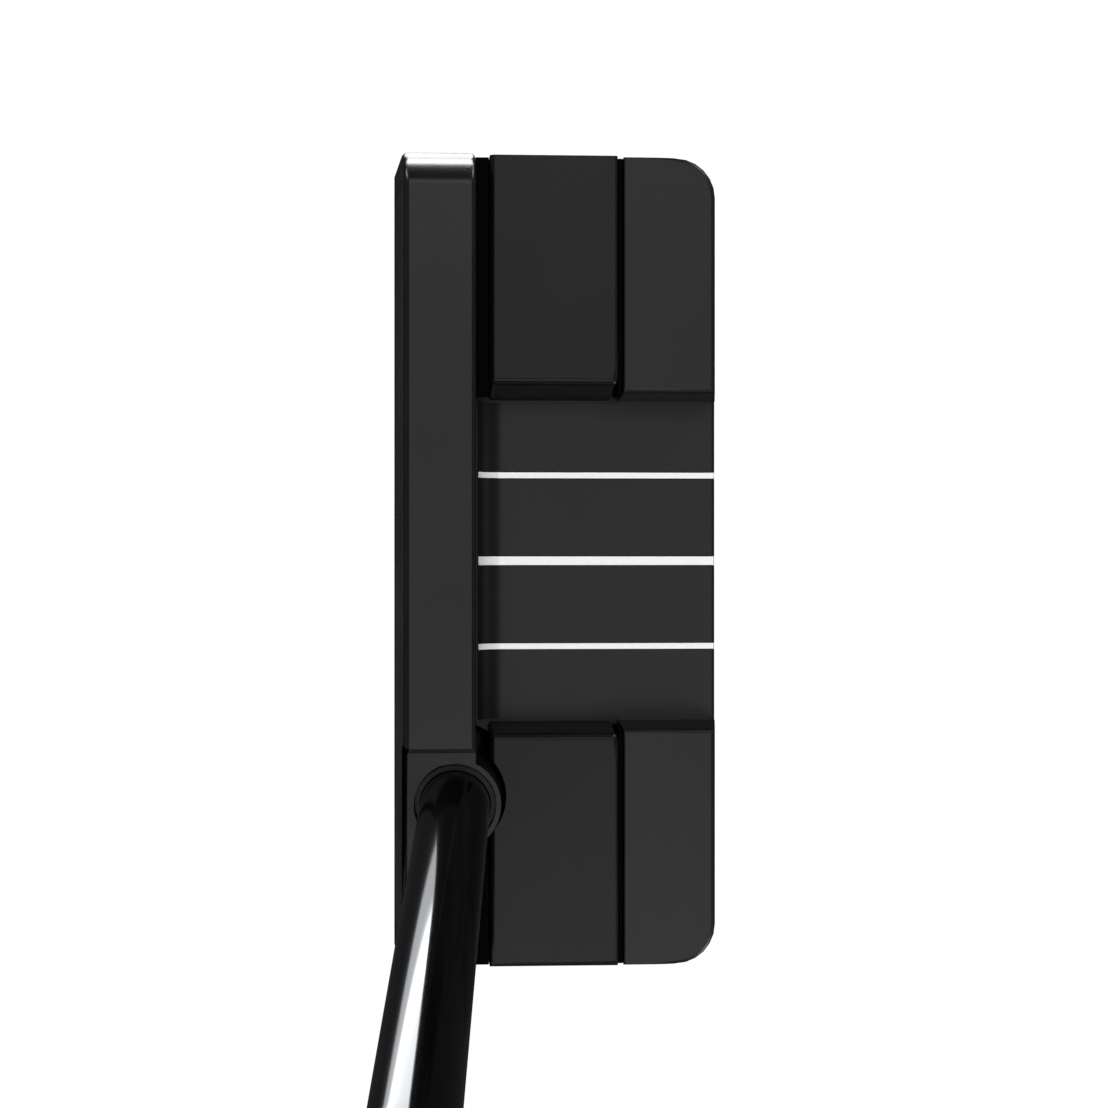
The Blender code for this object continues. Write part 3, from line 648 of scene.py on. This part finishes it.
def socket_screw(place, length, head_radius, head_height, shank_radius, socket_radius):
    """A screw standing on its head: each ring of edges is drawn on from the one before."""
    bm = bmesh.new()
    rim = bmesh.ops.create_circle(bm, cap_ends=False, radius=head_radius, segments=SCREW_SIDES)
    rim_edges = list({e for v in rim["verts"] for e in v.link_edges})
    hexagon = bmesh.ops.create_circle(bm, cap_ends=False, radius=socket_radius, segments=6)
    hexagon_edges = list({e for v in hexagon["verts"] for e in v.link_edges})
    bmesh.ops.bridge_loops(bm, edges=rim_edges + hexagon_edges)

    def draw_on(edges, rise, radius=None):
        made = bmesh.ops.extrude_edge_only(bm, edges=edges)["geom"]
        corners = [g for g in made if isinstance(g, bmesh.types.BMVert)]
        bmesh.ops.translate(bm, vec=(0, 0, rise), verts=corners)
        if radius:
            now = corners[0].co.xy.length
            bmesh.ops.scale(bm, vec=(radius / now, radius / now, 1), verts=corners)
        return [g for g in made if isinstance(g, bmesh.types.BMEdge)]

    floor_edges = draw_on(hexagon_edges, head_height * 0.6)
    bmesh.ops.edgeloop_fill(bm, edges=floor_edges)
    edges = draw_on(rim_edges, head_height)
    edges = draw_on(edges, 0, shank_radius)
    edges = draw_on(edges, length - head_height - shank_radius * 0.25)
    edges = draw_on(edges, shank_radius * 0.25, shank_radius * 0.75)
    bmesh.ops.edgeloop_fill(bm, edges=edges)
    bmesh.ops.recalc_face_normals(bm, faces=bm.faces)

    def on_rim(edge):
        return all(v.co.xy.length > head_radius * 0.98 for v in edge.verts)

    round_edges(bm, head_radius * 0.1, 4, on_rim, sharper=60)
    bmesh.ops.translate(bm, vec=place, verts=bm.verts)
    return bm


blackened = screw_metal("blackened_screw_steel", 0.08, 0.35)
screws = [f"{end}_wing_screw_{row}" for end in ("toe", "heel") for row in ("inner", "outer")]
screws += [f"flange_screw_{where}" for where in ("toe", "middle", "heel")]
for node in screws:
    low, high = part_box(node)
    foot = Vector(((low.x + high.x) / 2, (low.y + high.y) / 2, low.z))
    bm = socket_screw(
        foot,
        length=high.z - low.z,
        head_radius=2.6 * MM,
        head_height=2 * MM,
        shank_radius=1.25 * MM,
        socket_radius=1.1 * MM,
    )
    add_piece(f"{node}_detail", bm, blackened, [node])

# Sole weights. Two turned stainless slugs that unscrew from the sole, each with a rubber ring
# in a groove and a captive cap screw. The faces keep the rings left by the lathe.
COUNTERBORE = 3.9 * MM
COUNTERBORE_DEPTH = 2.6 * MM
SHANK_HOLE = 2.3 * MM
FACE_GROOVE_DEPTH = 0.15 * MM
EDGE_BREAK = 0.3 * MM
SEAL_GROOVE_DEPTH = 1 * MM
SEAL_PLAY = 0.15 * MM
SEAL_RADIUS = 0.5 * MM


def turned_steel(name, centre):
    """Bright steel with concentric lathe marks round an upright axis."""
    finish, shader, place = finish_of(name, (0.5, 0.5, 0.49), 0.28, 1)
    moved = {"Vector": place, "Location": (-centre[0], -centre[1], 0)}
    local = place.node("Mapping", None, moved)
    marks = place.node(
        "TexWave",
        {"wave_type": "RINGS", "rings_direction": "Z"},
        {"Vector": local, "Scale": 900, "Distortion": 0.4, "Detail": 1},
        output="Fac",
    )
    (0.2 + marks * 0.16).into(shader, "Roughness")
    emboss(shader, marks, 0.35, 0.02 * MM)
    return finish


def outline(points, centre):
    """A bmesh of a closed outline of (radius, height) points beside an upright axis."""
    bm = bmesh.new()
    corners = [bm.verts.new((centre[0] + r, centre[1], z)) for r, z in points]
    for start, end in zip(corners, corners[1:] + corners[:1]):
        bm.edges.new((start, end))
    return bm


def spun(bm, centre):
    """The outline spun all the way round an upright axis."""
    bmesh.ops.spin(
        bm,
        geom=bm.verts[:] + bm.edges[:],
        cent=(*centre, 0),
        axis=(0, 0, 1),
        angle=2 * math.pi,
        steps=72,
        use_merge=True,
    )
    bmesh.ops.remove_doubles(bm, verts=bm.verts[:], dist=0.001 * MM)
    bmesh.ops.recalc_face_normals(bm, faces=bm.faces)
    return bm


ring_rubber = elastomer("seal_ring_rubber", 0.008, 0.45)
bright_screw = screw_metal("bright_screw_steel", 0.45, 0.25)
for end in ("toe", "heel"):
    body = f"{end}_weight"
    low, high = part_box(f"{end}_sole_weight")
    centre = ((low.x + high.x) / 2, (low.y + high.y) / 2)
    radius = (high.y - low.y) / 2
    seal_low, seal_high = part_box(f"{end}_weight_seal")
    groove_low = seal_low.z - SEAL_PLAY
    groove_high = seal_high.z + SEAL_PLAY
    groove = radius - SEAL_GROOVE_DEPTH
    slug = [
        (COUNTERBORE, low.z + 0.2 * MM),
        (4.1 * MM, low.z),
        (5.2 * MM, low.z),
        (5.3 * MM, low.z + FACE_GROOVE_DEPTH),
        (5.6 * MM, low.z + FACE_GROOVE_DEPTH),
        (5.7 * MM, low.z),
        (radius - EDGE_BREAK, low.z),
        (radius, low.z + EDGE_BREAK),
        (radius, groove_low),
        (groove, groove_low),
        (groove, groove_high),
        (radius, groove_high),
        (radius, high.z),
        (SHANK_HOLE, high.z),
        (SHANK_HOLE, low.z + COUNTERBORE_DEPTH),
        (COUNTERBORE, low.z + COUNTERBORE_DEPTH),
    ]
    steel = turned_steel(f"turned_steel_{end}", centre)
    node = f"{end}_sole_weight"
    bm = spun(outline(slug, centre), centre)
    add_piece(f"{node}_detail", bm, steel, [node], body)
    seal_reach = (seal_high.y - seal_low.y) / 2 - SEAL_RADIUS
    seal_place = (centre[0] + seal_reach, centre[1], (seal_high.z + seal_low.z) / 2)
    on_edge = Matrix.Translation(seal_place) @ Matrix.Rotation(math.radians(90), 4, "X")
    bm = bmesh.new()
    bmesh.ops.create_circle(bm, cap_ends=False, radius=SEAL_RADIUS, segments=16, matrix=on_edge)
    node = f"{end}_weight_seal"
    add_piece(f"{node}_detail", spun(bm, centre), ring_rubber, [node], body)
    node = f"{end}_weight_screw"
    low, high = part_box(node)
    bm = socket_screw(
        Vector((*centre, low.z)),
        length=high.z - low.z,
        head_radius=3.6 * MM,
        head_height=2.3 * MM,
        shank_radius=2 * MM,
        socket_radius=2 * MM,
    )
    add_piece(f"{node}_detail", bm, bright_screw, [node], f"{end}_screw")

# Shaft. One tapered steel tube with a single bend above the hosel, polished and coated gloss
# black, glued into the bore.
SHAFT_TIP = Vector((29.099, -12.575, 6.3)) * MM
BEND_START = Vector((54.784, -18.645, 108.308)) * MM
SHAFT_BUTT = Vector((310.087, -18.983, 811.5)) * MM
TIP_RADIUS = 4.7 * MM
BUTT_RADIUS = 7.37 * MM
BEND_RADIUS = 100 * MM
LIE = math.radians(70)
UPPER_LINE = Vector((math.cos(LIE), 0, math.sin(LIE)))
BEND_STEPS = 18
SHAFT_SIDES = 128

gloss_coat, shader, place = finish_of(
    "gloss_black_shaft", (0.0012, 0.0012, 0.0014), 0.045, 0, IOR=1.5
)
stretched = place.node("Mapping", None, {"Vector": place, "Scale": (1, 1, 0.15)})
polish = noise(stretched, 500, 4)
smear = noise(place, 22, 4)
(0.08 + polish * 0.02 + smear * 0.04).into(shader, "Roughness")
emboss(shader, polish, 0.06, 0.01 * MM)


def follow(bm, edges, scale=1.0, about=None, **move):
    """Draws the ring of edges on to its next place along the tube, shifted or turned."""
    made = bmesh.ops.extrude_edge_only(bm, edges=edges)["geom"]
    corners = [g for g in made if isinstance(g, bmesh.types.BMVert)]
    if "vec" in move:
        bmesh.ops.translate(bm, vec=move["vec"], verts=corners)
    else:
        bmesh.ops.rotate(bm, cent=move["cent"], matrix=move["matrix"], verts=corners)
    if scale != 1.0:
        centred = Matrix.Translation(-about)
        bmesh.ops.scale(bm, vec=(scale, scale, scale), space=centred, verts=corners)
    return [g for g in made if isinstance(g, bmesh.types.BMEdge)]


lower_line = (BEND_START - SHAFT_TIP).normalized()
bend_axis = lower_line.cross(UPPER_LINE).normalized()
bend_angle = lower_line.angle(UPPER_LINE)
bend_centre = BEND_START + bend_axis.cross(lower_line) * BEND_RADIUS
bend_step = Matrix.Rotation(bend_angle / BEND_STEPS, 3, bend_axis)
stand = Vector((0, 0, 1)).rotation_difference(lower_line).to_matrix().to_4x4()
bm = bmesh.new()
ring = bmesh.ops.create_circle(
    bm, cap_ends=False, radius=TIP_RADIUS, segments=SHAFT_SIDES,
    matrix=Matrix.Translation(SHAFT_TIP) @ stand,
)
tip_edges = list({e for v in ring["verts"] for e in v.link_edges})
edges = follow(bm, tip_edges, vec=BEND_START - SHAFT_TIP)
for _ in range(BEND_STEPS):
    edges = follow(bm, edges, cent=bend_centre, matrix=bend_step)
bend_end = sum((v.co for e in edges for v in e.verts), Vector()) / (2 * SHAFT_SIDES)
growth = BUTT_RADIUS / TIP_RADIUS
edges = follow(bm, edges, growth, SHAFT_BUTT, vec=SHAFT_BUTT - bend_end)
bmesh.ops.holes_fill(bm, edges=edges + tip_edges, sides=0)
bmesh.ops.recalc_face_normals(bm, faces=bm.faces)
shaft = add_piece("shaft_detail", bm, gloss_coat, ["shaft"])
lit_from_sides.objects.link(shaft)
lit_by_front_cards.objects.link(shaft)
coat_node("shaft_bond", bonding("cured_epoxy", (0.02, 0.02, 0.02), 0.35))
coat_node("tip_plug", elastomer("tip_plug_elastomer", 0.02, 0.6))

# Grip. A moulded black rubber grip with a flat front, slid over tape on the butt of the shaft
# and closed by a cap with a vent hole. Fine crossed ribs run round it for hold.
RIBS_ROUND = 46
RIBS_ALONG = 2600
coat_node("grip_tape", bonding("grip_tape", (0.5, 0.47, 0.4), 0.8))
rubber, shader, place = finish_of("moulded_grip_rubber", (0.007, 0.007, 0.007), 0.46)
on_butt = place.node("Mapping", None, {"Vector": place, "Location": tuple(-SHAFT_BUTT)})
upright = {"Vector": on_butt, "Rotation": (0, LIE - math.pi / 2, 0)}
along_grip = place.node("Mapping", None, upright)
split = place.node("SeparateXYZ", None, {"Vector": along_grip})
across, sideways, along = (Wire(split.tree, s) for s in split.socket.node.outputs)
turn = across.maths("ARCTAN2", sideways, across)
rise = along * RIBS_ALONG + turn * RIBS_ROUND
fall = along * RIBS_ALONG - turn * RIBS_ROUND
ribs = rise.maths("MAXIMUM", rise.maths("SINE", rise), fall.maths("SINE", fall))
skin = noise(place, 2500, 3)
(0.4 + skin * 0.12).into(shader, "Roughness")
emboss(shader, ribs * 0.8 + skin * 0.3, 0.5, 0.12 * MM)
for node in ("grip", "grip_cap"):
    piece = add_piece(f"{node}_detail", merged_copy(node), rubber, [node])
    lit_from_sides.objects.link(piece)
